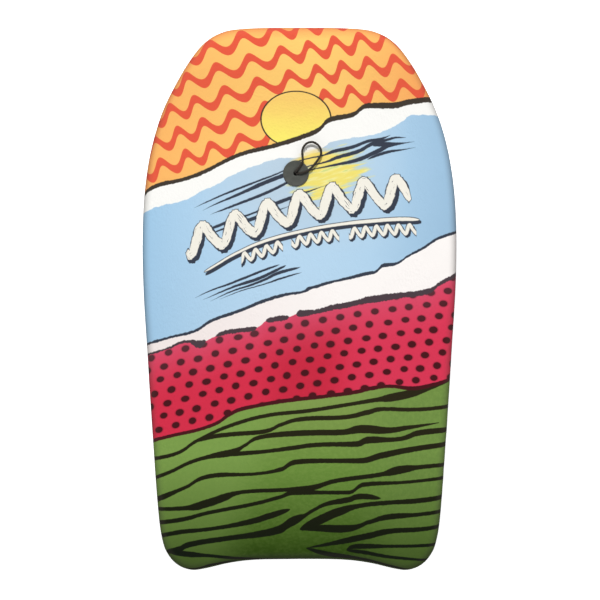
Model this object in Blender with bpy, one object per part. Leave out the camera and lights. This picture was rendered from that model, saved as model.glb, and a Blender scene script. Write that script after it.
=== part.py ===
"""A 33-inch bodyboard: foam core, wrapped deck skin, slick bottom, and a leash plug with its cord loop.

The board lies flat with its slick down: +Z is up out of the deck, +Y points to the nose, and the origin
is under the middle of the board, on the surface it lies on. Working sizes are in millimetres and
become metres when a mesh is made.
"""

import math

import bmesh
import bpy
from mathutils import Vector
from mathutils.geometry import delaunay_2d_cdt, interpolate_bezier

MM = 0.001

# ---------------------------------------------------------------- driving dimensions, in millimetres

LENGTH = 838.0  # 33 inches
THICKNESS = 50.0

# Right half of the plan outline from nose centre to tail centre, as x and y.
OUTLINE = [
    (0, 419),
    (55, 418.8),
    (98, 416.5),
    (121, 411),
    (141, 400),
    (160, 381),
    (184, 345),
    (211, 292),
    (228.5, 236),
    (238.5, 176),
    (242.5, 112),
    (242, 30),
    (236.5, -64),
    (228.5, -190),
    (219, -322),
    (212, -372),
    (203, -395),
    (188, -411),
    (168, -418.5),
    (147, -416.5),
    (108, -407.5),
    (66, -402.5),
    (0, -401.5),
]
STEPS_PER_SPAN = 2

TOP_RADIUS = 12.0  # deck edge
BEVEL = 14.0  # 45 degree lower rail bevel
SEAM = 17.0  # height at which the deck wrap meets the slick's rim
SEAM_GAP = 0.3
LOWER_CAP_INSET = 18.0  # where the flat bottom faces begin, inside the bevel
ARC_STEPS = 4

ROCKER_START = 218.0  # the board bends up towards the nose from here
ROCKER_RISE = 22.0
NOSE_THIN_START = 345.0  # the deck falls towards the nose's edge from here
NOSE_THIN = 8.0
TAIL_THIN_START = -355.0  # and towards the tail's edge from here
TAIL_THIN = 10.0

# Layers as distances inwards from the board's outer surface.
FILM = (0.0, 0.5)
DECK_FOAM = (0.8, 3.6)
CORE_INSET = 3.9
SLICK = (0.0, 1.0)
SLICK_FOAM = (1.3, 3.6)

PLUG_CENTRE = (-5.5, 194.7)
PLUG_RADIUS = 20.0
PLUG_CLEARANCE = 0.3
PLUG_FLANGE_TOP = 2.5  # above the deck
STEM_OUTER = 5.5
STEM_INNER = 3.6
STEM_BOTTOM = 12.0
MOUTH_RADIUS = 5.4
BASE_RADIUS = 18.0
BASE_BOTTOM = 0.6
BASE_FLANGE = 3.0
SLEEVE_INNER = 5.8
SLEEVE_OUTER = 7.5
SLEEVE_TOP = 45.7
COIN_SLOT = (2.2, 9.0, 1.4)  # width, length and depth of each screwdriver slot in the base
ROUND_STEPS = 32

CORD_DIAMETER = 3.4
STRAND_OFFSET = 1.72  # each strand's distance from the plug's axis
STRAND_BOTTOM = 12.2
KNOT_RADIUS = 5.1
KNOT_HEIGHT = 8.0
KNOT_BOTTOM = 3.9
LOOP_DIRECTION = math.radians(45)  # the way the loop lies from the plug, from +X
LOOP_SPACING = 7.0  # distance between the points of the loop's tube

# The loop's route from one strand round to the other: x and y from the plug's axis, and the height above the deck.
LOOP_ROUTE = [
    (-1.22, 1.22, 4.4),
    (2.4, 6.0, 4.3),
    (7.2, 12.2, 4.5),
    (10.4, 19.0, 4.9),
    (10.2, 26.8, 5.3),
    (9.8, 34.4, 5.7),
    (13.0, 42.2, 6.1),
    (19.0, 47.0, 6.4),
    (26.4, 47.8, 6.4),
    (33.6, 43.8, 6.3),
    (38.2, 37.0, 6.0),
    (38.6, 29.2, 5.7),
    (34.4, 21.4, 5.3),
    (28.6, 13.8, 5.0),
    (22.0, 6.6, 4.7),
    (14.4, 2.0, 4.4),
    (7.0, 0.2, 4.3),
    (1.22, -1.22, 4.4),
]

# ---------------------------------------------------------------- materials

COLOURS = {
    "eps": ((0.90, 0.90, 0.88), 0.85),
    "deck_foam": ((0.86, 0.86, 0.84), 0.8),
    "deck_film": ((0.85, 0.36, 0.16), 0.42),
    "slick_foam": ((0.80, 0.80, 0.79), 0.8),
    "slick": ((0.045, 0.05, 0.06), 0.3),
    "plug": ((0.12, 0.12, 0.115), 0.5),
    "cord": ((0.02, 0.017, 0.015), 0.75),
}


def make_material(name):
    """A Principled material with the colour and roughness of one kind of piece."""
    colour, roughness = COLOURS[name]
    material = bpy.data.materials.new(name)
    material.use_nodes = True
    shader = material.node_tree.nodes["Principled BSDF"]
    shader.inputs["Base Color"].default_value = (*colour, 1.0)
    shader.inputs["Roughness"].default_value = roughness
    return material


# ---------------------------------------------------------------- shared curves and surfaces


def smooth_curve(route, steps):
    """Points on a Catmull-Rom curve through the route, with a number of steps to each span."""
    points = [Vector(p) for p in route]
    ends = [2 * points[0] - points[1], *points, 2 * points[-1] - points[-2]]
    line = []
    for before, a, b, after in zip(ends, ends[1:], ends[2:], ends[3:]):
        line += interpolate_bezier(a, a + (b - before) / 6, b - (after - a) / 6, b, steps + 1)[:-1]
    return line + [points[-1]]


def board_outline():
    """The plan outline, counter-clockwise from the nose centre, as pairs of a point and its inward normal."""
    right = smooth_curve([(x, y, 0) for x, y in OUTLINE], STEPS_PER_SPAN)
    scale = LENGTH / (max(p.y for p in right) - min(p.y for p in right))
    shift = (max(p.y for p in right) + min(p.y for p in right)) / 2
    right = [Vector((p.x, (p.y - shift) * scale, 0)) for p in right]
    points = [Vector((-p.x, p.y, 0)) for p in right] + right[-2:0:-1]
    stations = []
    for i, point in enumerate(points):
        along = (points[(i + 1) % len(points)] - points[i - 1]).normalized()
        stations.append((point, Vector((-along.y, along.x, 0))))
    return stations


def surface_height(y, height):
    """Where a level of the flat section comes to lie, with the nose rocker and the thinner nose and tail."""
    top_share = max(0.0, (height - SEAM) / (THICKNESS - SEAM))
    rocker = ROCKER_RISE * max(0.0, (y - ROCKER_START) / (LENGTH / 2 - ROCKER_START)) ** 2
    nose = NOSE_THIN * max(0.0, (y - NOSE_THIN_START) / (LENGTH / 2 - NOSE_THIN_START)) ** 2
    tail = TAIL_THIN * max(0.0, (TAIL_THIN_START - y) / (LENGTH / 2 + TAIL_THIN_START)) ** 2
    return height + rocker - top_share * (nose + tail)


def upper_path(inset):
    """The deck edge and upper rail at a distance inside the outer surface, from deck to seam."""
    radius = TOP_RADIUS - inset
    path = []
    for i in range(ARC_STEPS + 1):
        angle = math.pi / 2 * (1 - i / ARC_STEPS)
        path.append(
            (TOP_RADIUS - radius * math.cos(angle), THICKNESS - TOP_RADIUS + radius * math.sin(angle))
        )
    return path + [(inset, SEAM + SEAM_GAP)]


def lower_path(inset):
    """The lower rail and bevel at a distance inside the outer surface, from seam to bottom."""
    corner = BEVEL + inset * math.tan(math.radians(22.5))
    return [(inset, SEAM), (inset, corner), (corner, inset), (LOWER_CAP_INSET, inset)]


def bore_ring(radius):
    """The plug's bore in plan."""
    angles = [2 * math.pi * i / ROUND_STEPS for i in range(ROUND_STEPS)]
    x, y = PLUG_CENTRE
    return [Vector((x + radius * math.cos(a), y + radius * math.sin(a), 0)) for a in angles]


def cap_triangles(rim, bore, stations):
    """Triangles that fill the rim around the bore, split along rows where the board bends lengthways."""
    outline = [p.to_2d() for p in rim] + [p.to_2d() for p in bore]
    count = len(rim)
    edges = [(i, (i + 1) % count) for i in range(count)]
    edges += [(count + i, count + (i + 1) % len(bore)) for i in range(len(bore))]
    crescent = min(p.y for p in rim if abs(p.x) < 1.0)
    for i in range(2, count // 2):
        y = stations[i][0].y
        if y > ROCKER_START or crescent + 6.0 < rim[i].y < TAIL_THIN_START + 20.0:
            edges.append((i, count - i))
    points, _, faces, origins, _, _ = delaunay_2d_cdt(outline, edges, [], 1, 1e-4)
    source = [ids[0] for ids in origins]
    centre = Vector(PLUG_CENTRE)
    hole = (bore[0].to_2d() - centre).length * math.cos(math.pi / ROUND_STEPS) - 0.01
    kept = []
    for face in faces:
        middle = sum((points[v] for v in face), Vector((0, 0))) / len(face)
        if (middle - centre).length > hole:
            kept.append([source[v] for v in face])
    return kept


def layer_body(name, path, bore_radius, material):
    """A closed layer of the board: an upper cap, the rings of the path, a lower cap and the plug's bore."""
    stations = board_outline()
    bore = bore_ring(bore_radius)
    mesh = bmesh.new()
    rings = []
    for inset, height in path:
        places = [point + normal * inset for point, normal in stations]
        rings.append(
            [mesh.verts.new(MM * Vector((p.x, p.y, surface_height(p.y, height)))) for p in places]
        )
    bores = [[mesh.verts.new(MM * Vector((p.x, p.y, path[end][1]))) for p in bore] for end in (0, -1)]
    count = len(stations)
    for upper, lower in zip(rings, rings[1:]):
        for i in range(count):
            j = (i + 1) % count
            mesh.faces.new((upper[i], lower[i], lower[j], upper[j]))
    for i in range(ROUND_STEPS):
        j = (i + 1) % ROUND_STEPS
        mesh.faces.new((bores[0][i], bores[0][j], bores[1][j], bores[1][i]))
    for end, hole in ((0, bores[0]), (-1, bores[1])):
        rim = [point + normal * path[end][0] for point, normal in stations]
        corners = rings[end] + hole
        for face in cap_triangles(rim, bore, stations):
            mesh.faces.new([corners[v] for v in face])
    bmesh.ops.recalc_face_normals(mesh, faces=mesh.faces[:])
    return object_from(name, mesh, material)


def object_from(name, mesh, material):
    """A smooth-shaded object, with sharp creases, made from a bmesh."""
    data = bpy.data.meshes.new(name)
    mesh.to_mesh(data)
    mesh.free()
    data.shade_smooth()
    data.set_sharp_from_angle(angle=math.radians(30))
    data.materials.append(material)
    body = bpy.data.objects.new(name, data)
    bpy.context.scene.collection.objects.link(body)
    return body


def turned_body(name, profile, material):
    """A closed ring turned about the plug's axis from a profile of radius and height."""
    mesh = bmesh.new()
    rings = []
    for i in range(ROUND_STEPS):
        angle = 2 * math.pi * i / ROUND_STEPS
        across = Vector((math.cos(angle), math.sin(angle), 0))
        rings.append([mesh.verts.new(MM * (across * r + Vector((0, 0, z)))) for r, z in profile])
    for i, ring in enumerate(rings):
        following = rings[(i + 1) % ROUND_STEPS]
        for j in range(len(profile)):
            k = (j + 1) % len(profile)
            mesh.faces.new((ring[j], following[j], following[k], ring[k]))
    bmesh.ops.recalc_face_normals(mesh, faces=mesh.faces[:])
    body = object_from(name, mesh, material)
    body.location = MM * Vector((*PLUG_CENTRE, 0))
    return body


# ---------------------------------------------------------------- the board's layers


def make_board():
    """The core and the four skins bonded round it."""
    core_path = upper_path(CORE_INSET) + lower_path(CORE_INSET)
    layer_body("eps_core", core_path, SLEEVE_OUTER + PLUG_CLEARANCE, make_material("eps"))
    for name, (outer, inner), radius, material in (
        ("deck_foam", DECK_FOAM, SLEEVE_INNER, "deck_foam"),
        ("deck_film", FILM, SLEEVE_INNER, "deck_film"),
    ):
        path = upper_path(outer) + upper_path(inner)[::-1]
        layer_body(name, path, radius, make_material(material))
    for name, (outer, inner) in (("slick_foam", SLICK_FOAM), ("slick", SLICK)):
        path = lower_path(inner)[::-1] + lower_path(outer)
        layer_body(name, path, BASE_RADIUS + PLUG_CLEARANCE, make_material(name))


# ---------------------------------------------------------------- the leash plug


def make_plug():
    """The deck half with its hollow stem, and the bottom half with its sleeve and screwdriver slots."""
    material = make_material("plug")
    top = THICKNESS + PLUG_FLANGE_TOP
    under = THICKNESS + PLUG_CLEARANCE
    turned_body(
        "leash_plug_top",
        [
            (STEM_OUTER, STEM_BOTTOM),
            (STEM_OUTER, under),
            (PLUG_RADIUS, under),
            (PLUG_RADIUS, top - 1.3),
            (PLUG_RADIUS - 0.7, top - 0.4),
            (PLUG_RADIUS - 2.2, top),
            (MOUTH_RADIUS, top),
            (MOUTH_RADIUS - 1.1, top - 0.5),
            (STEM_INNER, top - 2.2),
            (STEM_INNER, STEM_BOTTOM),
        ],
        material,
    )
    base_top = BASE_BOTTOM + BASE_FLANGE
    base = turned_body(
        "leash_plug_base",
        [
            (SLEEVE_INNER, BASE_BOTTOM),
            (BASE_RADIUS - 0.6, BASE_BOTTOM),
            (BASE_RADIUS, BASE_BOTTOM + 0.6),
            (BASE_RADIUS, base_top),
            (SLEEVE_OUTER, base_top),
            (SLEEVE_OUTER, SLEEVE_TOP),
            (SLEEVE_INNER, SLEEVE_TOP),
        ],
        material,
    )
    width, length, depth = (MM * size for size in COIN_SLOT)
    middle = MM * (SLEEVE_INNER + BASE_RADIUS) / 2
    for side in (-1, 1):
        bpy.ops.mesh.primitive_cube_add(
            size=1.0, location=base.location + Vector((side * middle, 0, MM * BASE_BOTTOM))
        )
        cutter = bpy.context.object
        cutter.name = "slot_cutter"
        cutter.scale = (length, width, 2 * depth)
        cutter.hide_render = True
        cutter.display_type = "WIRE"
        cut = base.modifiers.new("slot", "BOOLEAN")
        cut.operation = "DIFFERENCE"
        cut.object = cutter


# ---------------------------------------------------------------- the leash cord


def tube(name, points, material):
    """A cord through the points, which are in metres from the object's own origin."""
    curve = bpy.data.curves.new(name, "CURVE")
    curve.dimensions = "3D"
    curve.bevel_depth = MM * CORD_DIAMETER / 2
    curve.bevel_resolution = 2
    curve.use_fill_caps = True
    curve.materials.append(material)
    spline = curve.splines.new("POLY")
    spline.points.add(len(points) - 1)
    for target, point in zip(spline.points, points):
        target.co = (*point, 1.0)
    body = bpy.data.objects.new(name, curve)
    bpy.context.scene.collection.objects.link(body)
    return body


def even_points(line, spacing):
    """Points a steady distance apart along a fine line, both ends kept."""
    lengths = [(b - a).length for a, b in zip(line, line[1:])]
    total = sum(lengths)
    count = round(total / spacing)
    points, travelled, i = [line[0]], 0.0, 0
    for step in range(1, count):
        target = total * step / count
        while travelled + lengths[i] < target:
            travelled += lengths[i]
            i += 1
        points.append(line[i].lerp(line[i + 1], (target - travelled) / lengths[i]))
    return points + [line[-1]]


def make_cord():
    """Two strands and the knot, which spin in the plug, and the loop that lifts at its mouth."""
    material = make_material("cord")
    axis = MM * Vector((*PLUG_CENTRE, 0))
    swivel = bpy.data.objects.new("cord_swivel", None)
    swivel.location = axis
    bpy.context.scene.collection.objects.link(swivel)

    sideways = Vector((-math.sin(LOOP_DIRECTION), math.cos(LOOP_DIRECTION), 0))
    strand_top = THICKNESS + PLUG_FLANGE_TOP
    for name, side in (("leash_strand_left", 1), ("leash_strand_right", -1)):
        foot = MM * side * STRAND_OFFSET * sideways
        ends = [foot + Vector((0, 0, MM * z)) for z in (STRAND_BOTTOM, strand_top)]
        tube(name, ends, material).parent = swivel

    bpy.ops.mesh.primitive_uv_sphere_add(
        segments=16, ring_count=8, radius=1.0, location=(0, 0, MM * (KNOT_BOTTOM + KNOT_HEIGHT / 2))
    )
    knot = bpy.context.object
    knot.name = "leash_knot"
    knot.scale = (MM * KNOT_RADIUS, MM * KNOT_RADIUS, MM * KNOT_HEIGHT / 2)
    knot.data.materials.append(material)
    knot.data.shade_smooth()
    knot.parent = swivel

    mouth = bpy.data.objects.new("loop_hinge", None)
    mouth.location = (0, 0, MM * (THICKNESS + LOOP_ROUTE[0][2]))
    mouth.parent = swivel
    bpy.context.scene.collection.objects.link(mouth)
    route = [MM * Vector((x, y, height - LOOP_ROUTE[0][2])) for x, y, height in LOOP_ROUTE]
    fine_line = smooth_curve(route, 12)
    tube("leash_loop", even_points(fine_line, MM * LOOP_SPACING), material).parent = mouth


def main():
    for old in list(bpy.data.objects):
        bpy.data.objects.remove(old)
    make_board()
    make_plug()
    make_cord()


main()
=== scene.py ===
"""Looks for the bodyboard: printed deck skin, slick bottom, leash plug and its braided cord loop.

Sizes are in millimetres, in the CAD's frame, and become metres when a mesh is made.
"""

import math

import bmesh
import bpy
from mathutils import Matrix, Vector, noise
from mathutils.geometry import delaunay_2d_cdt, interpolate_bezier
from mathutils.kdtree import KDTree


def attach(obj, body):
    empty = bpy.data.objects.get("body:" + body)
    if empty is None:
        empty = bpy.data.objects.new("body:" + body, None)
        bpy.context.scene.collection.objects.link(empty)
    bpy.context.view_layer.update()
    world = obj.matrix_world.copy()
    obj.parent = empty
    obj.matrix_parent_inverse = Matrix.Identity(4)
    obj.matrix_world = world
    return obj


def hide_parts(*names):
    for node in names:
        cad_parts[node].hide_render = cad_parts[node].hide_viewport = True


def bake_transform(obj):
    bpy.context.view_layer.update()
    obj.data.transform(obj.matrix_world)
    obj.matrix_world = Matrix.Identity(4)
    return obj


MM = 0.001
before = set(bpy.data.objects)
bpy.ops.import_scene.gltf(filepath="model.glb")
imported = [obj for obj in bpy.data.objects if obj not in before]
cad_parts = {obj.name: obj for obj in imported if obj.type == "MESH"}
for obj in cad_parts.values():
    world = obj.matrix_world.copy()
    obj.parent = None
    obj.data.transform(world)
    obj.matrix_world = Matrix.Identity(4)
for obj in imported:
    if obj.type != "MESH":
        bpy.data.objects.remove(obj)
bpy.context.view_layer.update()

# ---------------------------------------------------------------- the board's shape, as the CAD has it

LENGTH = 838.0
THICKNESS = 50.0
OUTLINE = [
    (0, 419), (55, 418.8), (98, 416.5), (121, 411), (141, 400), (160, 381), (184, 345), (211, 292),
    (228.5, 236), (238.5, 176), (242.5, 112), (242, 30), (236.5, -64), (228.5, -190), (219, -322),
    (212, -372), (203, -395), (188, -411), (168, -418.5), (147, -416.5), (108, -407.5),
    (66, -402.5), (0, -401.5),
]
STEPS_PER_SPAN = 10  # of the outline, between two of its points
TOP_RADIUS = 12.0  # round edge of the deck
BEVEL = 14.0  # flat bevel of the lower rail
SEAM = 17.0  # height at which the film meets the slick
SEAM_GAP = 0.3
ROCKER_START = 218.0  # y past which the nose curves up
ROCKER_RISE = 22.0
NOSE_THIN_START = 345.0  # y past which the nose gets thinner
NOSE_THIN = 8.0
TAIL_THIN_START = -355.0  # y past which the tail gets thinner
TAIL_THIN = 10.0
SLICK_THICKNESS = 1.0
FILM_THICKNESS = 0.5

PLUG_CENTRE = Vector((-5.5, 194.7, 0))
PLUG_RADIUS = 20.0
PLUG_FLANGE_TOP = 2.5
STEM_OUTER = 5.5
STEM_INNER = 3.6
STEM_BOTTOM = 12.0
BASE_RADIUS = 18.0
BASE_BOTTOM = 0.6
BASE_FLANGE = 3.0
SLEEVE_INNER = 5.8
SLEEVE_OUTER = 7.5
SLEEVE_TOP = 45.7
COIN_SLOT = (2.2, 9.0, 1.4)  # width, length and depth

CORD_DIAMETER = 3.4
STRAND_BOTTOM = 12.2
KNOT_RADIUS = 5.1
KNOT_HEIGHT = 8.0
KNOT_BOTTOM = 3.9
LOOP_DIRECTION = math.radians(45)
# The loop's route over the deck from the plug's axis: x, y and height above the deck.
LOOP_ROUTE = [
    (-1.22, 1.22, 4.4), (2.4, 6.0, 4.3), (7.2, 12.2, 4.5), (10.4, 19.0, 4.9), (10.2, 26.8, 5.3),
    (9.8, 34.4, 5.7), (13.0, 42.2, 6.1), (19.0, 47.0, 6.4), (26.4, 47.8, 6.4), (33.6, 43.8, 6.3),
    (38.2, 37.0, 6.0), (38.6, 29.2, 5.7), (34.4, 21.4, 5.3), (28.6, 13.8, 5.0), (22.0, 6.6, 4.7),
    (14.4, 2.0, 4.4), (7.0, 0.2, 4.3), (1.22, -1.22, 4.4),
]
MOUTH_BEND = 6.0  # radius of the cord's bend where it comes up out of the plug
CORD_HIDDEN = 6.0  # how far the loop's piece reaches down into the plug below that bend

# ---------------------------------------------------------------- makers of scene data


def add_object(name, data):
    """A new object in the scene."""
    made = bpy.data.objects.new(name, data)
    bpy.context.scene.collection.objects.link(made)
    return made


def data_from(name, mesh):
    """Mesh data made from a bmesh, which is freed."""
    data = bpy.data.meshes.new(name)
    mesh.to_mesh(data)
    mesh.free()
    return data


# ---------------------------------------------------------------- camera

VIEW_HEIGHT = 5.0
PICTURE_WIDTH = 0.926  # metres of the deck's plane across the picture
camera_data = bpy.data.cameras.new("camera")
camera_data.sensor_width = 36.0
camera_data.lens = 36.0 * (VIEW_HEIGHT - MM * THICKNESS) / PICTURE_WIDTH
camera_data.clip_end = 20.0
camera = add_object("camera", camera_data)
camera.location = (0.0008, -0.0008, VIEW_HEIGHT)
bpy.context.scene.camera = camera
bpy.context.scene.view_settings.view_transform = "Standard"

# ---------------------------------------------------------------- shader helpers

SOFT = 0.5  # half the width of a printed edge's fade, in millimetres


class Value:
    """A number in a material's node tree. Arithmetic on it adds Math nodes."""

    def __init__(self, tree, socket):
        self.tree = tree
        self.socket = socket

    def math(self, operation, *others):
        node = self.tree.nodes.new("ShaderNodeMath")
        node.operation = operation
        for slot, value in zip(node.inputs, (self, *others)):
            feed(slot, value)
        return Value(self.tree, node.outputs[0])

    def __add__(self, other):
        return self.math("ADD", other)

    def __sub__(self, other):
        return self.math("SUBTRACT", other)

    def __mul__(self, other):
        return self.math("MULTIPLY", other)

    def __truediv__(self, other):
        return self.math("DIVIDE", other)

    def __rsub__(self, other):
        return (self * -1.0).math("ADD", other)

    def __abs__(self):
        return self.math("ABSOLUTE")

    def __pow__(self, power):
        return self.math("POWER", power)

    __radd__ = __add__
    __rmul__ = __mul__

    def clamped(self):
        node = self.tree.nodes.new("ShaderNodeClamp")
        feed(node.inputs[0], self)
        return Value(self.tree, node.outputs[0])

    def between(self, low, high):
        """0 below low and 1 above high, with a straight ramp between."""
        return ((self - low) * (1.0 / (high - low))).clamped()

    def edge(self):
        """0 outside a printed edge and 1 inside it, with a fine fade between."""
        return self.between(-SOFT, SOFT)


def feed(slot, value):
    """Sets a node's input to a number, a colour or another node's output."""
    if isinstance(value, Value):
        value.tree.links.new(value.socket, slot)
    else:
        slot.default_value = value


def named_place(tree, name):
    """The x, y and z of a named vector attribute of the mesh."""
    node = tree.nodes.new("ShaderNodeAttribute")
    node.attribute_name = name
    return Value(tree, node.outputs["Vector"])


def object_place(tree):
    """Where a point is on the object, in metres."""
    return Value(tree, tree.nodes.new("ShaderNodeTexCoord").outputs["Object"])


def parts_of(vector):
    node = vector.tree.nodes.new("ShaderNodeSeparateXYZ")
    feed(node.inputs[0], vector)
    return [Value(vector.tree, socket) for socket in node.outputs]


def vector_of(x, y, z=0.0):
    node = x.tree.nodes.new("ShaderNodeCombineXYZ")
    for slot, value in zip(node.inputs, (x, y, z)):
        feed(slot, value)
    return Value(x.tree, node.outputs[0])


def noise_of(place, scale, detail=2.0, roughness=0.5):
    """Smooth noise from 0 to 1."""
    node = place.tree.nodes.new("ShaderNodeTexNoise")
    feed(node.inputs["Vector"], place)
    node.inputs["Scale"].default_value = scale
    node.inputs["Detail"].default_value = detail
    node.inputs["Roughness"].default_value = roughness
    return Value(place.tree, node.outputs[0])


def cells_of(place, scale, feature="F1", randomness=1.0):
    """Distance to the middle, or the border, of the nearest cell of foam."""
    node = place.tree.nodes.new("ShaderNodeTexVoronoi")
    node.feature = feature
    feed(node.inputs["Vector"], place)
    node.inputs["Scale"].default_value = scale
    node.inputs["Randomness"].default_value = randomness
    return Value(place.tree, node.outputs["Distance"])


def random_of(u, v):
    """A random number from 0 to 1 for each pair of whole numbers."""
    node = u.tree.nodes.new("ShaderNodeTexWhiteNoise")
    node.noise_dimensions = "2D"
    feed(node.inputs["Vector"], vector_of(u, v))
    return Value(u.tree, node.outputs["Value"])


CURVE_SPAN = 290.0  # a curve's x runs this far to each side of the middle


def curve_of(x, points):
    """y as a smooth function of x through the points, both in millimetres."""
    node = x.tree.nodes.new("ShaderNodeFloatCurve")
    low = min(y for _, y in points) - 1.0
    high = max(y for _, y in points) + 1.0
    feed(node.inputs["Value"], (x + CURVE_SPAN) * (0.5 / CURVE_SPAN))
    curve = node.mapping.curves[0]
    places = [((px + CURVE_SPAN) / (2 * CURVE_SPAN), (py - low) / (high - low)) for px, py in points]
    while len(curve.points) < len(places):
        curve.points.new(0.5, 0.5)
    for target, place in zip(curve.points, places):
        target.location = place
        target.handle_type = "AUTO_CLAMPED"
    node.mapping.update()
    return Value(x.tree, node.outputs[0]) * (high - low) + low


def mixed(share, a, b):
    """Colour a where share is 0 and b where it is 1."""
    node = share.tree.nodes.new("ShaderNodeMix")
    node.data_type = "RGBA"
    slots = [s for s in node.inputs if s.type == "RGBA"]
    feed(node.inputs[0], share)
    feed(slots[0], a)
    feed(slots[1], b)
    return Value(share.tree, next(s for s in node.outputs if s.type == "RGBA"))


WHITENESS = 0.8  # the share of light that the whitest surface returns


def colour(red, green, blue):
    """A surface colour from its look in even light, in steps of 255."""
    linear = []
    for step in (red, green, blue):
        level = step / 255
        linear.append(WHITENESS * (level / 12.92 if level < 0.04 else ((level + 0.055) / 1.055) ** 2.4))
    return (*linear, 1.0)


def new_material(name, roughness, specular=0.5):
    """A Principled material, returned with its tree and shader."""
    material = bpy.data.materials.new(name)
    material.use_nodes = True
    tree = material.node_tree
    shader = tree.nodes["Principled BSDF"]
    shader.inputs["Roughness"].default_value = roughness
    shader.inputs["Specular IOR Level"].default_value = specular
    return material, tree, shader


def bump(shader, height, depth, strength):
    """Gives the shader relief: height from 0 to 1, standing depth millimetres at most."""
    tree = height.tree
    node = tree.nodes.new("ShaderNodeBump")
    node.inputs["Strength"].default_value = strength
    node.inputs["Distance"].default_value = MM * depth
    feed(node.inputs["Height"], height)
    tree.links.new(node.outputs[0], shader.inputs["Normal"])


# ---------------------------------------------------------------- the printed picture

ORANGE = colour(255, 207, 115)
DEEP_ORANGE = colour(250, 158, 92)
CORAL = colour(232, 92, 66)
SUN_TOP = colour(251, 208, 112)
SUN_LOW = colour(254, 245, 112)
WHITE = colour(253, 252, 248)
WARM_WHITE = colour(258, 253, 250)
ROSE_WHITE = colour(250, 239, 236)
BLUE = colour(187, 219, 243)
EDGE_BLUE = colour(163, 203, 233)
HAZY_BLUE = colour(189, 211, 228)
DEEP_BLUE = colour(156, 189, 216)
CRIMSON = colour(220, 48, 76)
BRIGHT_CRIMSON = colour(224, 56, 87)
DEEP_CRIMSON = colour(208, 42, 68)
PALE_CRIMSON = colour(222, 79, 109)
SEED = colour(74, 20, 27)
PALE_SEED = colour(98, 50, 59)
LIME_GREEN = colour(132, 159, 81)
GREEN = colour(107, 143, 59)
PALE_GREEN_FLECK = colour(140, 171, 84)
TAIL_GREEN = colour(46, 74, 2)
LEFT_GREEN = colour(126, 161, 77)
RIGHT_GREEN = colour(113, 145, 69)
SIDE_TAIL_GREEN = colour(74, 99, 37)
GRAIN = colour(42, 38, 18)
DEEP_GRAIN = colour(6, 18, 0)
WARM_LINE = colour(66, 58, 50)
COOL_LINE = colour(58, 64, 78)
MELON_INK = colour(78, 64, 71)
RAIL_SHADE = colour(70, 60, 50)
CREAM = colour(246, 242, 230)
YELLOW = colour(247, 228, 108)
PALE_YELLOW = colour(251, 240, 158)
AMBER = colour(252, 226, 122)
PALE_GREEN = colour(206, 220, 132)
RAIL_X = 240.0  # a stroke that reaches this far to one side runs on round the rail

# Brush lines between the bands, each as x, y and width. A negative width is a break in a line.
# The water's torn edge has no line of its own.
SUNSET_LINE = [
    (-250, 158, 5), (-216, 177, 5), (-180, 185, 4.5), (-145, 198, 5), (-118, 212, 5),
    (-88, 225, 5), (-40, 237, 5.5), (2, 250, 6), (30, 262, 6), (46, 277, 6.5), (82, 285, 6),
    (108, 299, 7), (140, 299, 8), (172, 305, 7), (250, 314, 7),
]
WATER_EDGE = [
    (-250, 130), (-216, 144), (-178, 153), (-150, 168), (-128, 177), (-108, 190), (-66, 207),
    (-30, 218), (-6, 219), (14, 222), (28, 228), (40, 237), (52, 244), (82, 249), (112, 254),
    (144, 266), (160, 276), (176, 285), (250, 280),
]
SHORE_LINE = [
    (-250, -73, 3.5), (-194, -57, 3.5), (-165, -50, 4), (-134, -32, 4.5), (-94, -18, 4.5),
    (-51, -1, 5), (-19, 8, 4), (6, 12, 3.5), (13, 16, 6), (19, 18, 3.5), (29, 21, 4.5),
    (42, 25, 4), (56, 28.5, 3.5), (76, 33, 4), (104, 40, 5), (118, 43, 4), (128, 52, 5),
    (148, 55, 4), (166, 66, 3), (192, 80, 4), (216, 95, 4), (250, 106, 4),
]
MELON_LINE = [
    (-250, -90, 3), (-202, -75, 3.5), (-170, -65, 4.5), (-156, -69, 12), (-146, -65, 8),
    (-137, -60, -5), (-128, -56, 3), (-115, -51, 7), (-94, -48, 7), (-70, -45, 7), (-60, -40, -5),
    (-51, -33, 5), (-42, -31, 8.5), (-20, -28, 8), (-11, -25, -4), (-3, -22, 8), (8, -21, 10),
    (25, -19, 7), (52, -12, 8.5), (70, -9, 9), (88, -5, 8), (103, -1, 10.5), (120, 1, 11),
    (138, 4, 10.5), (170, 8, 8), (194, 11, 9), (216, 24, 6), (250, 42, 7),
]
RIND_LINE = [
    (-250, -224, 4), (-196, -210, 4), (-160, -202, 4), (-130, -192, 4.5), (-110, -179, 5),
    (-92, -170, 5), (-60, -163, 4.5), (-26, -157, 5), (35, -150, 4.5), (86, -143, 5),
    (112, -137, 5), (140, -134, 4), (172, -137, 5), (204, -132, 4.5), (250, -116, 4),
]

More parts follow.
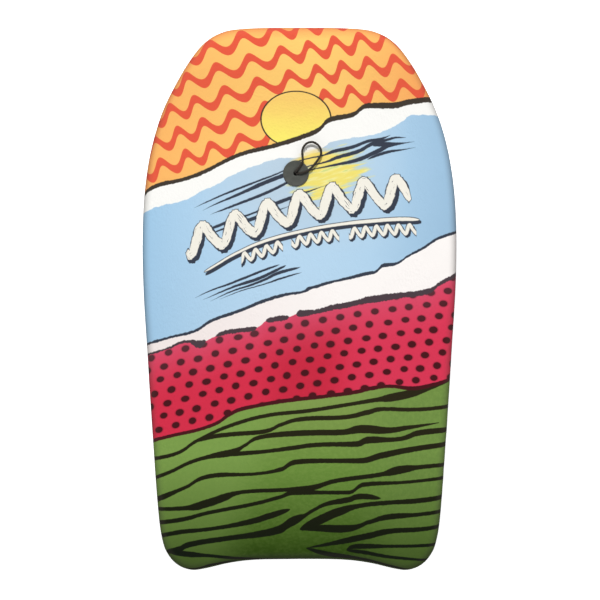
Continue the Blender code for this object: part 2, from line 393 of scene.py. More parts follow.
# Lines of grain in the green, each as x, y and width. A width of 0 is a pointed end.
RIND_GRAIN = [
    [(-250, -250, 5), (-194, -239, 5), (-158, -218, 5), (-96, -191, 5), (-44, -178, 5),
     (12, -172, 5), (70, -163, 5), (118, -155, 6), (138, -152, 11), (164, -147, 12),
     (186, -141, 10), (206, -134, 7), (250, -116, 5)],
    [(-158, -218, 3), (-130, -211, 6), (-104, -208, 6), (-56, -204, 6), (-28, -193, 5),
     (10, -184, 6), (66, -182, 6), (106, -174, 7), (134, -169, 5), (166, -170, 5), (250, -163, 5)],
    [(-250, -284, 5), (-204, -268, 5), (-162, -249, 5), (-132, -241, 7), (-104, -236, 10),
     (-84, -225, 5), (-58, -212, 6), (8, -206, 8), (66, -205, 8), (98, -200, 12), (134, -202, 9),
     (166, -198, 6), (216, -190, 0)],
    [(-120, -240, 0), (-94, -238, 6), (-48, -234, 5), (-10, -229, 6), (34, -224, 6), (88, -223, 8),
     (106, -217, 10), (148, -216, 6), (184, -206, 8), (250, -199, 5)],
    [(-250, -318, 6), (-214, -306, 8), (-176, -290, 5), (-134, -272, 6), (-66, -269, 4),
     (-28, -262, 6), (-6, -251, 7), (48, -249, 6), (88, -249, 7), (126, -241, 9), (164, -233, 8),
     (250, -220, 6)],
    [(-250, -324, 4), (-176, -322, 6), (-144, -315, 12), (-114, -305, 11), (-86, -297, 5),
     (-28, -294, 5), (10, -292, 8), (56, -280, 6), (126, -270, 6), (150, -264, 12), (184, -259, 6),
     (250, -253, 5)],
    [(-250, -348, 4), (-184, -340, 6), (-144, -330, 5), (-68, -315, 5), (-30, -305, 5),
     (4, -296, 10), (32, -298, 5), (74, -298, 5), (98, -286, 6), (164, -282, 4), (250, -272, 5)],
    [(-250, -376, 5), (-184, -359, 6), (-144, -355, 5), (-76, -343, 8), (-46, -334, 9),
     (-14, -324, 0)],
    [(-210, -391, 0), (-186, -386, 9), (-172, -379, 8), (-106, -368, 7), (-68, -363, 9),
     (-34, -356, 12), (-14, -344, 14), (4, -336, 8), (22, -325, 5), (44, -315, 6), (76, -309, 8),
     (96, -304, 8), (126, -307, 0)],
    [(-206, -389, 0), (-176, -393, 8), (-138, -396, 4), (-86, -401, 4), (-40, -404, 3),
     (20, -405, 2)],
    [(0, -355, 0), (30, -341, 14), (66, -326, 12), (102, -317, 6), (146, -313, 6), (180, -311, 7),
     (250, -299, 5)],
    [(0, -355, 0), (30, -353, 9), (60, -354, 11), (106, -344, 6), (142, -335, 8), (184, -332, 5),
     (250, -320, 5)],
    [(10, -384, 0), (48, -377, 5), (106, -365, 9), (146, -357, 7), (184, -355, 6), (250, -341, 4)],
    [(10, -384, 0), (48, -394, 7), (88, -400, 5), (140, -413, 4), (180, -424, 4)],
    [(72, -387, 0), (94, -381, 7), (142, -381, 4), (250, -374, 4)],
    [(72, -387, 0), (96, -390, 5), (142, -398, 4), (196, -403, 3), (250, -407, 3)],
    [(-250, -414, 3), (-190, -420, 4), (-140, -412, 4), (-96, -404, 0)],
]

# Dry-brush streaks across the blue.
STREAKS = [
    [(-163, 141, 0), (-142, 151, 2), (-117, 162, 3), (-92, 172, 3.6), (-66, 182, 3.2),
     (-28, 197, 2.5), (0, 214, 2), (38, 223, 2.6), (51, 228, 5.4), (81, 235, 5.6), (109, 245, 4.8),
     (122, 247, 4.4), (132, 250, 2.8), (141, 254, 0)],
    [(-150, 137, 0), (-130, 147, 2), (-104, 158, 4), (-79, 169, 5.6), (-59, 178, 6.8),
     (-26, 191, 6.8), (12, 205, 2), (43, 213, 3.6), (58, 219, 5.6), (89, 228, 6.2),
     (117, 242, 6.4), (130, 245, 5.2), (155, 250, 2.2), (165, 250, 0)],
    [(-138, 131, 0), (-96, 147, 4), (-48, 166, 5), (-16, 182, 4), (15, 199, 2), (51, 207, 3.6),
     (81, 213, 5.8), (97, 218, 6.8), (112, 225, 7), (127, 232, 7.8), (137, 237, 5.8),
     (153, 240, 3.2), (178, 244, 0)],
    [(104, 216, 0), (127, 225, 5), (143, 229, 4), (158, 231, 2.2), (180, 235, 0)],
    [(113, 237, 0), (122, 240, 8), (133, 239, 8), (146, 241, 3), (168, 242, 0)],
    [(-150, 104, 0), (-112, 119, 5), (-72, 133, 3), (-34, 149, 6), (12, 166, 3), (40, 176, 0)],
    [(-162, 92, 0), (-120, 108, 3), (-80, 122, 6), (-44, 134, 3), (-10, 146, 0)],
    [(-162, 2, 0), (-134, 15, 2.4), (-111, 23, 3.2), (-88, 32, 4), (-50, 47, 3.6), (-30, 54, 0)],
    [(-150, -1, 0), (-113, 15, 3), (-92, 23, 4), (-69, 30, 5.2), (-38, 44, 5), (-20, 53, 0)],
    [(-138, -3, 0), (-101, 14, 2.6), (-76, 22, 3.4), (-53, 31, 4.4), (-32, 41, 5.2), (2, 50, 0)],
    [(-124, 0, 0), (-88, 14, 1.6), (-50, 25, 2), (-30, 32, 3), (4, 42, 0)],
]
UNDERLINE = [
    (-148, 42, 0), (-134, 50, 4), (-96, 72, 4.5), (-48, 92, 5), (2, 105, 5), (56, 115, 5),
    (110, 121, 6), (164, 124, 6), (186, 123, 0),
]


class Picture:
    """A flat picture painted layer on layer, in millimetres across the skin laid flat."""

    def __init__(self, place, ground):
        self.place = place
        self.x, self.y, self.inside = parts_of(place)
        self.colour = ground
        self.brushed = self.rough(6.0, 0.9)
        self.torn = self.rough(11.0, 2.4)
        self.chipped = self.rough(5.0, 1.1)

    def rough(self, size, depth):
        """Noise that makes a straight edge look brushed."""
        return (noise_of(self.place, 1.0 / size, 3.0) - 0.5) * (2.0 * depth)

    def paint(self, paint, share):
        self.colour = mixed(share, self.colour, paint)

    def oval(self, centre, half_sizes, lean=0.0):
        """A point's distance from an oval's centre, where the oval's edge is at 1."""
        x = (self.x - centre[0]) / half_sizes[0]
        y = (self.y - self.x * lean - centre[1]) / half_sizes[1]
        return (x * x + y * y) ** 0.5

    def below(self, line, wobble=None, drop=0.0):
        """1 under a line across the board, or under one that lies a little lower."""
        gap = curve_of(self.x, [(point[0], point[1] - drop) for point in line]) - self.y
        if wobble is not None:
            gap = gap + wobble
        return gap.edge()

    def stroke(self, points, wobble=None, shift=(0.0, 0.0), extra=0.0, ragged=None):
        """1 on a brush stroke through x, y and width.

        A wobble moves the stroke, and ragged noise thickens it.
        """
        x = self.x - shift[0] if shift[0] else self.x
        centre = curve_of(x, [(px, py + shift[1]) for px, py, _ in points])
        half_width = curve_of(x, [(px, width / 2 + extra) for px, _, width in points])
        if wobble is not None:
            centre = centre + wobble
        if ragged is not None:
            half_width = half_width + ragged
        return (half_width - abs(self.y - centre)).edge() * self.ends(x, points)

    def ends(self, x, points):
        """Cuts a stroke off past its own two ends, unless it runs on round the rail."""
        first, last = points[0][0], points[-1][0]
        share = None
        if first > -RAIL_X:
            share = x.between(first, first + 1.0)
        if last < RAIL_X:
            right = (last - x).between(0.0, 1.0)
            share = right if share is None else share * right
        return 1.0 if share is None else share


WAVE_LEAN = 0.42  # 0 makes an even wave, and more makes the climb steeper than the fall
WAVE_LEAN_PLACE = 0.94  # where in the climb the wave is steepest, in radians before its top


def wave_of(turns, period, height):
    """The height of a leaning wave that tops at whole turns, and its slope."""
    angle = turns * (2 * math.pi)
    late = angle + WAVE_LEAN_PLACE
    phase = angle + late.math("SINE") * WAVE_LEAN - WAVE_LEAN * math.sin(WAVE_LEAN_PLACE)
    speed = late.math("COSINE") * WAVE_LEAN + 1.0
    slope = phase.math("SINE") * speed * (-2 * math.pi * height / period)
    return phase.math("COSINE") * height, slope


def off_wave(turns, across, period, height, lie):
    """How far a point is from a wave's line, which lies at a slope of its own.

    The nearest point of the line comes from two steps of Newton's method.
    """
    wave, slope = wave_of(turns, period, height)
    steep = slope + lie
    reach = period * 0.16
    gap = across - wave
    shift = (gap * steep / (steep * steep + 1.0)).math("MINIMUM", reach).math("MAXIMUM", -reach)
    wave, slope = wave_of(turns + shift / period, period, height)
    steep = slope + lie
    gap = across - shift * lie - wave
    more = (gap * steep / (steep * steep + 1.0)).math("MINIMUM", reach).math("MAXIMUM", -reach)
    shift = shift + more
    wave, _ = wave_of(turns + shift / period, period, height)
    gap = across - shift * lie - wave
    return (shift * shift + gap * gap) ** 0.5


# Where the coral waves top, in millimetres across the board. They are longest in the middle.
WAVE_TOPS = [-290, -252, -214, -175, -137, -91, -40, 9, 51, 90, 129, 170, 211, 252, 290]
WAVE_ROW_GAP = 39.3
WAVE_ROW_SHIFT = 12.3
LOWEST_WAVE = 261.7
WAVE_HEIGHT = 10.4  # of a stripe's tops and dips, off the row's middle
WAVE_SLANT = 0.29  # how far a stripe's lower edge stands to the right of its upper one, per mm
WAVE_HALF_WIDTH = 7.3


def sunset_stripes(picture):
    """1 on a coral wave. Each row of waves starts a little further back than the row below."""
    x, y = picture.x, picture.y
    drift = (noise_of(picture.place, 0.02, 1.0) - 0.5) * 5.0
    across = y - x * 0.2 + x * x * 0.00035 - LOWEST_WAVE + drift
    row = (across / WAVE_ROW_GAP).math("ROUND").math("MAXIMUM", x.between(-1.0, 0.0))
    above = across - row * WAVE_ROW_GAP
    along = x + row * WAVE_ROW_SHIFT + (above - WAVE_HEIGHT) * WAVE_SLANT
    turns = curve_of(along, list(zip(WAVE_TOPS, range(len(WAVE_TOPS)))))
    angle = turns * (2 * math.pi)
    wave = (angle + angle.math("SINE") * 0.12).math("COSINE") * WAVE_HEIGHT
    return (WAVE_HALF_WIDTH - abs(above - wave)).edge()


SEED_GAP = 26.5  # between two seeds of a row
SEED_ROW_GAP = 19.1
SEED_ROW_SHIFT = 7.0
SEED_HALF_SIZES = (6.2, 4.9)


def seeds(picture):
    """How deep a point is in a dark oval seed. The seeds stand in slanting, uneven rows."""
    x, y = picture.x, picture.y
    rows = (y - x * 0.185 + x * x * 0.00018 + 57.2) / SEED_ROW_GAP
    row = rows.math("ROUND")
    places = (x - row * SEED_ROW_SHIFT - 3.0) / SEED_GAP
    place = places.math("ROUND")
    shake = random_of(row, place) - 0.5
    other = random_of(place + 31.0, row) - 0.5
    dx = (places - place) * SEED_GAP + shake * 3.0
    dy = (rows - row) * SEED_ROW_GAP + other * 2.4 + dx * 0.12
    dx, dy = dx / (SEED_HALF_SIZES[0] + other), dy / (SEED_HALF_SIZES[1] + shake)
    away = (dx * dx + dy * dy) ** 0.5
    return (away - 1.0) * -6.0


# The ribbons that stand where the photographed board has lettering.
BIG_RIBBON = [(-180, 85), (-120, 104), (-60, 126), (0, 143), (60, 156), (120, 165), (190, 168)]
BIG_WAVE = (50.0, 20.0)  # length and height of one wave
BIG_HALF_WIDTH = 7.2
BIG_SHADOW = (4.2, -4.4)
SMALL_RIBBON = [(-100, 60), (-60, 73), (-14, 87), (30, 96), (76, 102), (130, 107), (190, 109)]
SMALL_RIBBON_PARTS = [(-90, -25), (-13, 62), (76, 181)]  # where each part starts and ends
SMALL_WAVE = (17.0, 6.8)
SMALL_HALF_WIDTH = 2.8
SMALL_SHADOW = (2.2, -2.6)
RIBBON_LEAN = 0.2


def ribbon(picture, line, wave, half_width, shift=(0.0, 0.0)):
    """How deep a point is in a ribbon that waves along a line, and its place along and across."""
    x, y = picture.x - shift[0], picture.y - shift[1]
    period, height = wave
    across = y - curve_of(x, line)
    turns = x / period
    return half_width - off_wave(turns, across, period, height, RIBBON_LEAN), turns, across


def paint_big_ribbon(picture):
    """A brushed wave ribbon with a dark outline and shadow."""
    rough = picture.rough(4.5, 1.3) + picture.rough(12.0, 2.2)
    left, right = picture.x.between(-181.0, -172.0), (178.0 - picture.x).between(0.0, 9.0)
    taper = (left * right - 1.0) * 18.0
    depth, _, _ = ribbon(picture, BIG_RIBBON, BIG_WAVE, BIG_HALF_WIDTH + 1.6, BIG_SHADOW)
    picture.paint(COOL_LINE, (depth + taper + rough).edge())
    depth, turns, offset = ribbon(picture, BIG_RIBBON, BIG_WAVE, BIG_HALF_WIDTH)
    depth = depth + taper + rough
    picture.paint(COOL_LINE, (depth + 1.5).edge())
    hair_place = vector_of(turns * 6.0 + offset * 0.03, depth * 0.62)
    hairs = noise_of(hair_place, 1.0, 3.0)
    face = mixed(hairs.between(0.65, 0.68), CREAM, COOL_LINE)
    picture.paint(face, depth.edge())


def paint_small_ribbons(picture):
    """A smaller ribbon in parts under the big one."""
    inside = None
    for low, high in SMALL_RIBBON_PARTS:
        part = picture.x.between(low, low + 1.0) * (high - picture.x).between(0.0, 1.0)
        inside = part if inside is None else inside + part
    fine = picture.rough(3.0, 0.8)
    depth, _, _ = ribbon(picture, SMALL_RIBBON, SMALL_WAVE, SMALL_HALF_WIDTH + 1.2, SMALL_SHADOW)
    picture.paint(COOL_LINE, (depth + fine).edge() * inside)
    depth, _, _ = ribbon(picture, SMALL_RIBBON, SMALL_WAVE, SMALL_HALF_WIDTH)
    picture.paint(COOL_LINE, (depth + fine + 1.2).edge() * inside)
    picture.paint(CREAM, (depth + fine).edge() * inside)


SUN_CENTRE = (-5.4, 278.0)
SUN_HALF_SIZES = (54.0, 43.0)


def paint_sunset(picture):
    """Deeper orange towards the rails, partly as painted shade along the rail's edge, the coral waves, and
    the sun with its thin outline.
    """
    x, y = picture.x, picture.y
    beside = (x / -430.0).clamped() + (x / 215.0).clamped() ** 1.7
    # painted shade: the orange deepens within 19 mm of the rail's edge
    painted_edge_shade = (1.0 - picture.inside / 19.0).clamped() * 0.95
    picture.paint(DEEP_ORANGE, beside.math("MAXIMUM", painted_edge_shade))
    picture.paint(CORAL, sunset_stripes(picture))
    from_sun = picture.oval(SUN_CENTRE, SUN_HALF_SIZES)
    picture.paint(WARM_LINE, (1.0 - from_sun).between(-0.03, -0.015))
    height = y - SUN_CENTRE[1] + noise_of(picture.place, 0.05, 3.0) * 22.0
    sun = mixed(height.between(-34.0, 40.0), SUN_LOW, SUN_TOP)
    picture.paint(sun, (0.975 - from_sun).between(-0.01, 0.005))


SMEAR_CENTRE = (46.0, 183.0)
SMEAR_HALF_SIZES = (68.0, 46.0)
SMEAR_LEAN = 0.22
GLOW_CENTRE = (22.0, 213.0)
GLOW_HALF_SIZES = (36.0, 17.0)
GLOW_LEAN = 0.2


def paint_water(picture):
    """Blue with a hazy middle, the sun's yellow smear on it, and the dry-brush streaks."""
    x, y = picture.x, picture.y
    blue = mixed((abs(x) * 0.0042).clamped() ** 2.0, BLUE, EDGE_BLUE)
    blue = mixed(x.between(110.0, 230.0) * 0.6, blue, DEEP_BLUE)
    hazy = y.between(70.0, 150.0) * (1.3 - abs(x) / 130.0).clamped()
    blue = mixed(hazy, blue, HAZY_BLUE)
    picture.paint(blue, picture.below(WATER_EDGE, picture.torn))

    smear = 1.05 - picture.oval(SMEAR_CENTRE, SMEAR_HALF_SIZES, SMEAR_LEAN)
    streaky = noise_of(vector_of(x * 0.018, (y - x * SMEAR_LEAN) * 0.16), 1.0, 3.0)
    patchy = noise_of(vector_of(x * 0.03 + 40.0, (y - x * 0.3) * 0.2), 1.0, 3.0)
    picture.paint(PALE_GREEN, (smear * 1.3 + streaky * 1.8 - 1.1).between(0.0, 0.35) * 0.6)
    yellows = mixed(patchy.between(0.48, 0.62), YELLOW, PALE_YELLOW)
    picture.paint(yellows, (smear * 1.3 + streaky * 2.4 - 1.5).between(0.0, 0.3) * 0.9)
    picture.paint(PALE_GREEN, (smear * 2.0).clamped() * patchy.between(0.6, 0.66) * 0.8)
    glow = 1.0 - picture.oval(GLOW_CENTRE, GLOW_HALF_SIZES, GLOW_LEAN) + (streaky - 0.5) * 1.2
    picture.paint(AMBER, glow.between(0.0, 0.5))
    for points in STREAKS:
        picture.paint(COOL_LINE, picture.stroke(points, picture.brushed * 0.8))


MELON_HAZE = 85.0  # the red is paler this far down from its upper line


def paint_melon(picture):
    """Red with dark seeds, both paler towards the ink line at the top."""
    x, y = picture.x, picture.y
    red = mixed(x.between(40.0, 110.0), CRIMSON, BRIGHT_CRIMSON)
    red = mixed((1.6 - abs(x - 8.0) / 45.0).clamped(), red, DEEP_CRIMSON)
    under_line = curve_of(x, [point[:2] for point in MELON_LINE]) - y
    pale = (1.0 - under_line / MELON_HAZE).clamped() ** 2.0
    red = mixed(pale, red, PALE_CRIMSON)
    picture.paint(red, picture.below(MELON_LINE, picture.brushed))
    seed_depth = seeds(picture)
    in_red = picture.below(MELON_LINE, drop=2.0)
    seed = mixed(pale, SEED, PALE_SEED)
    picture.paint(seed, (seed_depth + 1.5).between(-0.8, 0.8) * in_red * 0.3)
    picture.paint(seed, seed_depth.edge() * in_red)
    ink = picture.stroke(MELON_LINE, picture.brushed * 1.5, ragged=picture.chipped * 1.8)
    picture.paint(MELON_INK, ink)


def paint_rind(picture):
    """Mottled green that darkens towards the tail, with dark lines of grain."""
    x, down = picture.x, picture.y * -1.0
    green = mixed(down.between(150.0, 265.0), LIME_GREEN, GREEN)
    green = mixed(down.between(262.0, 388.0), green, TAIL_GREEN)
    lower = down.between(235.0, 405.0)
    left_share = (down * -0.3 - x + 40.0).between(0.0, 60.0)
    green = mixed(left_share, green, mixed(lower, LEFT_GREEN, SIDE_TAIL_GREEN))
    right_share = x.between(75.0, 150.0) * 0.9
    green = mixed(right_share, green, mixed(lower, RIGHT_GREEN, SIDE_TAIL_GREEN))
    mottle = noise_of(picture.place, 0.16, 3.0).between(0.4, 0.75) * 0.35
    green = mixed(mottle, green, mixed(lower, PALE_GREEN_FLECK, SIDE_TAIL_GREEN))
    picture.paint(green, picture.below(RIND_LINE, picture.brushed))
    grain = None
    for points in RIND_GRAIN:
        line = picture.stroke(points, picture.brushed * 0.7, extra=0.55)
        grain = line if grain is None else grain.math("MAXIMUM", line)
    ink = mixed(down.between(150.0, 400.0), GRAIN, DEEP_GRAIN)
    picture.paint(ink, grain * picture.below(RIND_LINE, drop=1.0))
    chips = picture.chipped * 0.6
    picture.paint(SEED, picture.stroke(RIND_LINE, picture.brushed * 0.6, extra=0.7, ragged=chips))


def paint_picture(place):
    """The whole deck print, from the sunset at the nose to the green at the tail, with painted shade along
    the rails.
    """
    picture = Picture(place, ORANGE)
    brushed, chipped = picture.brushed, picture.chipped
    paint_sunset(picture)
    picture.paint(WHITE, picture.below(SUNSET_LINE, brushed))
    paint_water(picture)
    picture.paint(COOL_LINE, picture.stroke(UNDERLINE, shift=(2.6, -3.6), extra=1.6))
    picture.paint(COOL_LINE, picture.stroke(UNDERLINE, extra=0.9))
    picture.paint(CREAM, picture.stroke(UNDERLINE, brushed * 0.4, extra=-0.3))
    paint_big_ribbon(picture)
    paint_small_ribbons(picture)
    picture.paint(WARM_LINE, picture.stroke(SUNSET_LINE, brushed, extra=0.8, ragged=chipped))
    foam = mixed(picture.x.between(-150.0, 60.0), ROSE_WHITE, WARM_WHITE)
    picture.paint(foam, picture.below(SHORE_LINE, brushed))
    picture.paint(COOL_LINE, picture.stroke(SHORE_LINE, brushed, extra=0.3, ragged=chipped))
    paint_melon(picture)
    paint_rind(picture)
    picture.paint(RAIL_SHADE, (1.0 - picture.inside / 14.0).clamped() ** 1.5 * 0.3)
    return picture.colour


def skin_relief(place):
    """Fine relief of the film: orange peel, beads of foam that show through, and soft creases."""
    peel = noise_of(place, 0.55, 3.0)
    beads = cells_of(place, 0.22)
    patches = noise_of(place, 0.012, 2.0).between(0.45, 0.62)
    creases = abs(noise_of(place, 0.07, 2.0) - 0.5)
    return peel * 0.35 + beads * patches * 0.5 + creases * 0.9


def film_material():
    material, tree, shader = new_material("printed_film", 0.5, 0.2)
    place = named_place(tree, "print_place")
    feed(shader.inputs["Base Color"], paint_picture(place))
    worn = noise_of(place, 0.03, 4.0)
    feed(shader.inputs["Roughness"], worn * 0.16 + 0.44)
    bump(shader, skin_relief(place), 0.7, 0.8)
    return material


# ---------------------------------------------------------------- other materials


def slick_material():
    """Hard plastic sheet: nearly smooth, with long faint scuffs from sand."""
    material, tree, shader = new_material("slick_sheet", 0.3, 0.5)
    place = object_place(tree)
    x, y, z = parts_of(place)
    scuffs = noise_of(vector_of(x * 260.0, y * 9.0, z * 60.0), 1.0, 4.0, 0.7)
    cloud = noise_of(place, 9.0, 3.0)
    tone = mixed(cloud * 0.5 + scuffs.between(0.6, 0.8) * 0.5, colour(52, 58, 66), colour(78, 85, 95))
    feed(shader.inputs["Base Color"], tone)
    feed(shader.inputs["Roughness"], scuffs * 0.25 + cloud * 0.1 + 0.16)
    peel = noise_of(place, 160.0, 2.0)
    bump(shader, peel * 0.6 + scuffs.between(0.62, 0.75) * 0.4, 0.12, 0.5)
    return material


def plug_material():
    """Moulded plastic with a fine spark-eroded texture."""
    material, tree, shader = new_material("moulded_plug", 0.5, 0.4)
    place = object_place(tree)
    cloud = noise_of(place, 120.0, 3.0)
    feed(shader.inputs["Base Color"], mixed(cloud, colour(66, 68, 64), colour(96, 98, 92)))
    grain = noise_of(place, 1800.0, 2.0)
    feed(shader.inputs["Roughness"], cloud * 0.15 + grain * 0.1 + 0.4)
    bump(shader, grain, 0.05, 0.6)
    return material


def cord_material():
    """Braided polyester: dark yarns with random tone, and painted shade that darkens the grooves between
    the yarns, so their raised backs look lighter.
    """
    material, tree, shader = new_material("braided_cord", 0.75, 0.3)
    shader.inputs["Sheen Weight"].default_value = 0.08
    shader.inputs["Sheen Roughness"].default_value = 0.4
    lift, _, _ = parts_of(named_place(tree, "weave"))
    yarn = noise_of(object_place(tree), 4000.0, 2.0)
    # painted shade: darker where the weave dips between yarns, lighter on the raised yarns
    tone = mixed((lift * 0.75 + yarn * 0.35).clamped(), colour(30, 27, 24), colour(72, 66, 59))
    feed(shader.inputs["Base Color"], tone)
    bump(shader, yarn, 0.05, 0.5)
    return material


def bead_foam_material():
    """Expanded polystyrene: pressed beads with fine dark borders."""
    material, tree, shader = new_material("bead_foam", 0.8, 0.3)
    place = object_place(tree)
    border = cells_of(place, 280.0, "DISTANCE_TO_EDGE").between(0.0, 0.12)
    tint = noise_of(place, 90.0, 2.0)
    feed(shader.inputs["Base Color"], mixed(border, colour(214, 213, 208), colour(246, 246, 242)))
    bump(shader, border * 0.8 + tint * 0.2, 0.3, 0.7)
    return material


def sheet_foam_material(name, dark, light):
    """Closed-cell polyethylene foam."""
    material, tree, shader = new_material(name, 0.75, 0.3)
    place = object_place(tree)
    cells = cells_of(place, 1300.0)
    tone = noise_of(place, 60.0, 3.0)
    feed(shader.inputs["Base Color"], mixed(tone * 0.6 + cells * 0.4, dark, light))
    bump(shader, cells, 0.12, 0.7)
    return material


# ---------------------------------------------------------------- shared geometry


def smooth_curve(route, steps):
    """Points on a Catmull-Rom curve through the route, with a number of steps to each span."""
    points = [Vector(p) for p in route]
    ends = [2 * points[0] - points[1], *points, 2 * points[-1] - points[-2]]
    line = []
    for before, a, b, after in zip(ends, ends[1:], ends[2:], ends[3:]):
        line += interpolate_bezier(a, a + (b - before) / 6, b - (after - a) / 6, b, steps + 1)[:-1]
    return line + [points[-1]]


def even_points(line, spacing):
    """Points a steady distance apart along a fine line, both ends kept."""
    lengths = [(b - a).length for a, b in zip(line, line[1:])]
    total = sum(lengths)
    count = max(2, round(total / spacing))
    points, travelled, i = [line[0]], 0.0, 0
    for step in range(1, count):
        target = total * step / count
        while travelled + lengths[i] < target:
            travelled += lengths[i]
            i += 1
        points.append(line[i].lerp(line[i + 1], (target - travelled) / lengths[i]))
    return points + [line[-1]]


def board_outline():
    """The plan outline, counter-clockwise from the nose, as pairs of a point and its inward normal."""
    right = smooth_curve([(x, y, 0) for x, y in OUTLINE], STEPS_PER_SPAN)
    scale = LENGTH / (max(p.y for p in right) - min(p.y for p in right))
    shift = (max(p.y for p in right) + min(p.y for p in right)) / 2
    right = [Vector((p.x, (p.y - shift) * scale, 0)) for p in right]
    points = [Vector((-p.x, p.y, 0)) for p in right] + right[-2:0:-1]
    stations = []
    for i, point in enumerate(points):
        along = (points[(i + 1) % len(points)] - points[i - 1]).normalized()
        stations.append((point, Vector((-along.y, along.x, 0))))
    return stations


def surface_height(y, height):
    """Where a level of the flat section comes to lie, with the rocker and the thinner nose and tail."""
    top_share = max(0.0, (height - SEAM) / (THICKNESS - SEAM))
    rocker = ROCKER_RISE * max(0.0, (y - ROCKER_START) / (LENGTH / 2 - ROCKER_START)) ** 2
    nose = NOSE_THIN * max(0.0, (y - NOSE_THIN_START) / (LENGTH / 2 - NOSE_THIN_START)) ** 2
    tail = TAIL_THIN * max(0.0, (TAIL_THIN_START - y) / (LENGTH / 2 + TAIL_THIN_START)) ** 2
    return height + rocker - top_share * (nose + tail)


def filled_cap(rim, bore, spacing):
    """A grid of triangles that fills the rim around the bore.

    In the points that it returns, those past the rim's and the bore's own are new.
    """
    fixed = [p.to_2d() for p in rim] + [p.to_2d() for p in bore]
    count = len(rim)
    edges = [(i, (i + 1) % count) for i in range(count)]
    edges += [(count + i, count + (i + 1) % len(bore)) for i in range(len(bore))]
    centre = PLUG_CENTRE.to_2d()
    hole = (bore[0].to_2d() - centre).length
    low_x, high_x = min(p.x for p in fixed), max(p.x for p in fixed)
    low_y, high_y = min(p.y for p in fixed), max(p.y for p in fixed)
    across, along = int((high_x - low_x) / spacing), int((high_y - low_y) / spacing)
    for i in range(along):
        for j in range(across):
            place = Vector((low_x + (j + 0.5 + 0.5 * (i % 2)) * spacing, low_y + (i + 0.5) * spacing))
            if (place - centre).length > hole + 0.6 * spacing:
                fixed.append(place)
    points, _, faces, origins, _, _ = delaunay_2d_cdt(fixed, edges, [], 1, 1e-4)
    kept = []
    for face in faces:
        middle = sum((points[v] for v in face), Vector((0, 0))) / len(face)
        if (middle - centre).length > hole * math.cos(math.pi / len(bore)) - 0.01:
            kept.append([origins[v][0] for v in face])
    return kept, fixed


def circle(radius, steps):
    """Points round the plug's axis."""
    angles = [2 * math.pi * i / steps for i in range(steps)]
    return [PLUG_CENTRE + radius * Vector((math.cos(a), math.sin(a), 0)) for a in angles]


SHARP_ANGLE = math.radians(50)  # edges that turn more than this are shaded as corners


def join_rings(mesh, rings):
    """Faces between each ring of vertices and the next."""
    for ring, following in zip(rings, rings[1:]):
        for i in range(len(ring)):
            j = (i + 1) % len(ring)
            mesh.faces.new((ring[i], following[i], following[j], ring[j]))


def object_from(name, mesh, material, body):
    """A smooth-shaded piece made from a bmesh without its loose points, riding on its body."""
    loose = [vertex for vertex in mesh.verts if not vertex.link_faces]
    bmesh.ops.delete(mesh, geom=loose, context="VERTS")
    bmesh.ops.recalc_face_normals(mesh, faces=mesh.faces[:])
    data = data_from(name, mesh)
    data.shade_smooth()
    data.set_sharp_from_angle(angle=SHARP_ANGLE)
    data.materials.append(material)
    piece = add_object(name, data)
    if body:
        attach(piece, body)
    return piece


# ---------------------------------------------------------------- the printed deck skin

SKIN_GRID = 6.0
SKIN_ARC_STEPS = 10
BORE_STEPS = 64
FAR_INSIDE = 100.0  # the print's distance from the rail where it has no effect


def skin_profile():
    """The deck edge and rail from deck to seam: inset, height, and distance along the skin."""
    path = []
    for i in range(SKIN_ARC_STEPS + 1):
        angle = math.pi / 2 * (1 - i / SKIN_ARC_STEPS)
        inset, drop = TOP_RADIUS * (1 - math.cos(angle)), TOP_RADIUS * (1 - math.sin(angle))
        path.append((inset, THICKNESS - drop, TOP_RADIUS * (math.pi / 2 - angle)))
    bend = path[-1][2]
    wall = THICKNESS - TOP_RADIUS
    low = SEAM + SEAM_GAP
    for height in (33.0, 28.0, 23.0, 19.0, low + 0.5):
        path.append((0.0, height, bend + wall - height))
    path.append((0.15, low + 0.1, bend + wall - low))
    path.append((FILM_THICKNESS + 0.4, low, bend + wall - low + 0.9))
    return path


def deck_wave(x, y):
    """Slight unevenness of the deck, in millimetres, that fades out at the plug."""
    broad = noise.noise(Vector((x / 85.0, y / 110.0, 0.0))) * 0.55
    close = noise.noise(Vector((x / 26.0, y / 30.0, 4.0))) * 0.16
    away = (Vector((x, y, 0)) - PLUG_CENTRE).length
    return (broad + close) * min(1.0, max(0.0, (away - PLUG_RADIUS) / 40.0))


def rail_wave(point):
    """Shallow wrinkles pressed into the rail, deepest on the right towards the tail."""
    stretch = noise.noise(Vector((point.x / 60.0, point.y / 60.0, 9.0))) * 0.25
    right = max(0.0, 1.0 - abs(point.y + 245.0) / 110.0) if point.x > 0 else 0.0
    crease = math.sin(point.y / 5.2 + 2.0 * math.sin(point.y / 23.0))
    return stretch - 0.35 * right * (0.5 + 0.5 * crease) ** 2


